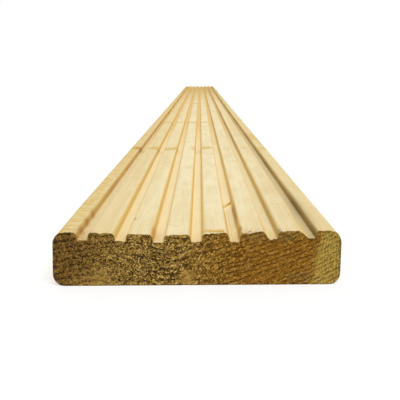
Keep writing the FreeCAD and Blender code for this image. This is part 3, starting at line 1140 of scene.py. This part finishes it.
def sawn_material(colours):
    """Sawn ends: heart and sapwood, ring lines, torn pits dark with painted shade, pale fibre tips partly
    as painted highlight, a broken upper edge, and painted shade along the lower and right edges.
    """
    material, graph = material_graph("Sawn end grain")
    x, _, z = object_place(graph)
    base, late, tone, pit_shade, tips_and_highlight = end_grain(graph)
    coat = Coat(graph, base)
    coat.lay(late * 0.68, colours.pit)
    # Painted shade in the torn pits, and pale fibre tips that partly stand for their highlight
    coat.lay(pit_shade, colours.pit)
    coat.lay(tips_and_highlight * 0.8, colours.fibre)
    # Painted highlights: straw glints on the highest tips
    coat.lay(tips_and_highlight ** 3 * graph.ease(tone, 0.8, 0.95), colours.straw)

    up, across = attribute(graph, "up"), attribute(graph, "across")
    # Along the upper edge: pale fibre, partly a painted highlight on the rounded arris, and darker broken
    # patches
    upper = graph.ease(up, 0.945, 0.985)
    pale = graph.noise(x, 0.0, 0.0, scale=80.0, detail=1.0)
    pale = pale + graph.bell((x - RIM_PLACE) / RIM_REACH) * 0.2
    coat.lay(upper * graph.ease(pale, 0.45, 0.6) * 0.5, colours.fibre)
    coat.lay(upper * graph.ease(pale, 0.5, 0.4) * 0.6, colours.pit)
    # Painted shade along the lower and side edges, and on the rounded right edge, where they turn away
    low_rim_shade = graph.math("MINIMUM", up, (0.5 - abs(across - 0.5)) * 5)
    coat.lay(graph.ease(low_rim_shade, 0.035, 0.0) * 0.5, colours.pit)
    coat.lay(graph.ease(x, HIGH.x - 2 * MM, HIGH.x) * graph.ease(z, 0.0, HIGH.z, 0.2, 0.7), colours.pit)
    bumpy_surface(graph, coat.result, roughness=0.9, height=tone, depth=TORN_BUMP)
    return material


def fibre_material(colours):
    """Standing fibres: the end's own colour, paler at the tips of some."""
    material, graph = material_graph("Torn fibre")
    x, y, z = object_place(graph)
    coat = Coat(graph, end_grain(graph)[0])
    patches = graph.noise(x, y, z, scale=900.0, detail=1.0)
    coat.lay(graph.ease(patches, 0.45, 0.7), colours.fibre)
    coat.lay(graph.ease(patches, 0.3, 0.45, 0.7, 0.0), colours.pit)
    broken = graph.spot(x, y - LOW.y, BREAK_PLACE, RUSTY_REACH) * graph.ease(z, 22 * MM, 24 * MM)
    coat.lay(broken * 0.8, colours.rust)
    surface(graph, {"Base Color": coat.result, "Roughness": 0.85, "Specular IOR Level": 0.1})
    return material


class DECKING_OT_board(bpy.types.Operator):
    """Build the moulded board with its planed faces and sawn ends"""

    bl_idname = "decking.board"
    bl_label = "Moulded Board"

    def execute(self, context):
        section = context.scene.decking_section
        wear = context.scene.decking_wear
        colours = context.scene.decking_colours
        end_grain_group(colours)
        values = {**own_settings(section), **own_settings(wear)}
        values["Planed"] = planed_material(colours, section, wear)
        values["Sawn"] = sawn_material(colours)
        board = grown("board", board_tree(values), values)
        board.data.shade_smooth()
        board.data.set_sharp_from_angle(angle=SHARP_ANGLE)
        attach(board, BODY)
        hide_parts(NODE)
        return {"FINISHED"}


class DECKING_OT_fibres(bpy.types.Operator):
    """Grow the fibres that the saw left standing on the board's ends"""

    bl_idname = "decking.fibres"
    bl_label = "End Fibres"

    def execute(self, context):
        values = own_settings(context.scene.decking_fibres)
        values["Finish"] = fibre_material(context.scene.decking_colours)
        fibres = grown("end_fibres", fibre_tree(values), values, bpy.data.objects["board"].data)
        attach(fibres, BODY)
        return {"FINISHED"}


class DECKING_OT_stage(bpy.types.Operator):
    """Build the floor, the light and the camera"""

    bl_idname = "decking.stage"
    bl_label = "Studio"

    def execute(self, context):
        settings = context.scene.decking_stage
        scene = context.scene
        scene.view_settings.view_transform = "Standard"
        make_floor(scene, settings)
        make_sky(scene, settings)
        make_key(scene, settings)
        make_camera(scene, settings)
        return {"FINISHED"}


def seen_directly(graph):
    """1 for the camera and for reflections and refractions, 0 for light that falls on the board."""
    paths = graph.node("ShaderNodeLightPath")
    names = ("Is Camera Ray", "Is Glossy Ray", "Is Transmission Ray")
    camera, glossy, through = graph.outputs(paths, *names)
    return graph.math("MAXIMUM", camera, graph.math("MAXIMUM", glossy, through))


def make_floor(scene, settings):
    """A wide white floor that keeps the board's shadow."""
    half = settings.floor_size / 2
    mesh = bpy.data.meshes.new("floor")
    corners = [(-half, -half, 0), (half, -half, 0), (half, half, 0), (-half, half, 0)]
    mesh.from_pydata(corners, [], [(0, 1, 2, 3)])
    floor = bpy.data.objects.new("floor", mesh)
    scene.collection.objects.link(floor)
    material, graph = material_graph("Studio floor")
    seen = seen_directly(graph)
    base = graph.paint(seen, settings.floor, FLOOR_SEEN)
    matt = graph.out("ShaderNodeBsdfDiffuse", {"Color": base})
    glow = graph.out("ShaderNodeEmission", {"Strength": seen * FLOOR_GLOW})
    shader = graph.out("ShaderNodeAddShader", {0: matt, 1: glow})
    graph.node("ShaderNodeOutputMaterial", {"Surface": shader})
    mesh.materials.append(material)


def make_sky(scene, settings):
    """White all round to the camera, and a plain even light on the board."""
    world = bpy.data.worlds.new("Studio sky")
    world.use_nodes = True
    world.node_tree.nodes.clear()
    graph = Graph(world.node_tree)
    strength = graph.mix(seen_directly(graph), settings.sky_strength, 1.0)
    sky = graph.out("ShaderNodeBackground", {"Color": (1.0, 1.0, 1.0, 1.0), "Strength": strength})
    graph.node("ShaderNodeOutputWorld", {"Surface": sky})
    scene.world = world


def make_key(scene, settings):
    """A broad soft light from above the near end, a little to the right."""
    light = bpy.data.lights.new("key", "SUN")
    light.energy = settings.key_strength
    light.angle = settings.key_spread
    key = bpy.data.objects.new("key", light)
    height, side = settings.key_height, settings.key_side
    level = math.cos(height)
    towards = Vector((math.sin(side) * level, -math.cos(side) * level, math.sin(height)))
    key.rotation_mode = "QUATERNION"
    key.rotation_quaternion = towards.to_track_quat("Z", "Y")
    scene.collection.objects.link(key)


def make_camera(scene, settings):
    """The camera low in front of the near end, looking along the board."""
    data = bpy.data.cameras.new("camera")
    data.lens = settings.camera_lens
    data.clip_start = CLIP_START
    camera = bpy.data.objects.new("camera", data)
    scene.collection.objects.link(camera)
    pitch, roll = settings.camera_pitch, settings.camera_roll
    place = Vector((settings.camera_side, LOW.y - settings.camera_back, settings.camera_height))
    level = Matrix.Rotation(settings.camera_turn, 4, "Z") @ Matrix.Rotation(math.pi / 2 - pitch, 4, "X")
    camera.matrix_world = Matrix.Translation(place) @ level @ Matrix.Rotation(-roll, 4, "Z")
    scene.camera = camera


class DECKING_PT_panel(bpy.types.Panel):
    """Lists what the add-on builds and the sizes and colours it uses"""

    bl_label = "Decking Board"
    bl_idname = "DECKING_PT_panel"
    bl_space_type = "VIEW_3D"
    bl_region_type = "UI"
    bl_category = "Decking"

    def draw(self, context):
        for name in GROUPS:
            settings = getattr(context.scene, name)
            box = self.layout.box()
            for item in own_properties(settings):
                box.prop(settings, item.identifier)
        for operator in OPERATORS:
            self.layout.operator(operator.bl_idname)


GROUPS = {
    "decking_section": DeckingSection,
    "decking_wear": DeckingWear,
    "decking_fibres": DeckingFibres,
    "decking_colours": DeckingColours,
    "decking_stage": DeckingStage,
}
OPERATORS = (DECKING_OT_board, DECKING_OT_fibres, DECKING_OT_stage)
CLASSES = (*GROUPS.values(), *OPERATORS, DECKING_PT_panel)


def register():
    for item in CLASSES:
        bpy.utils.register_class(item)
    for name, group in GROUPS.items():
        setattr(bpy.types.Scene, name, bpy.props.PointerProperty(type=group))


def unregister():
    for name in GROUPS:
        delattr(bpy.types.Scene, name)
    for item in reversed(CLASSES):
        bpy.utils.unregister_class(item)


def main():
    """Registers the add-on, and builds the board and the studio."""
    register()
    bpy.ops.decking.board()
    bpy.ops.decking.fibres()
    bpy.ops.decking.stage()


if __name__ == "__main__":
    main()
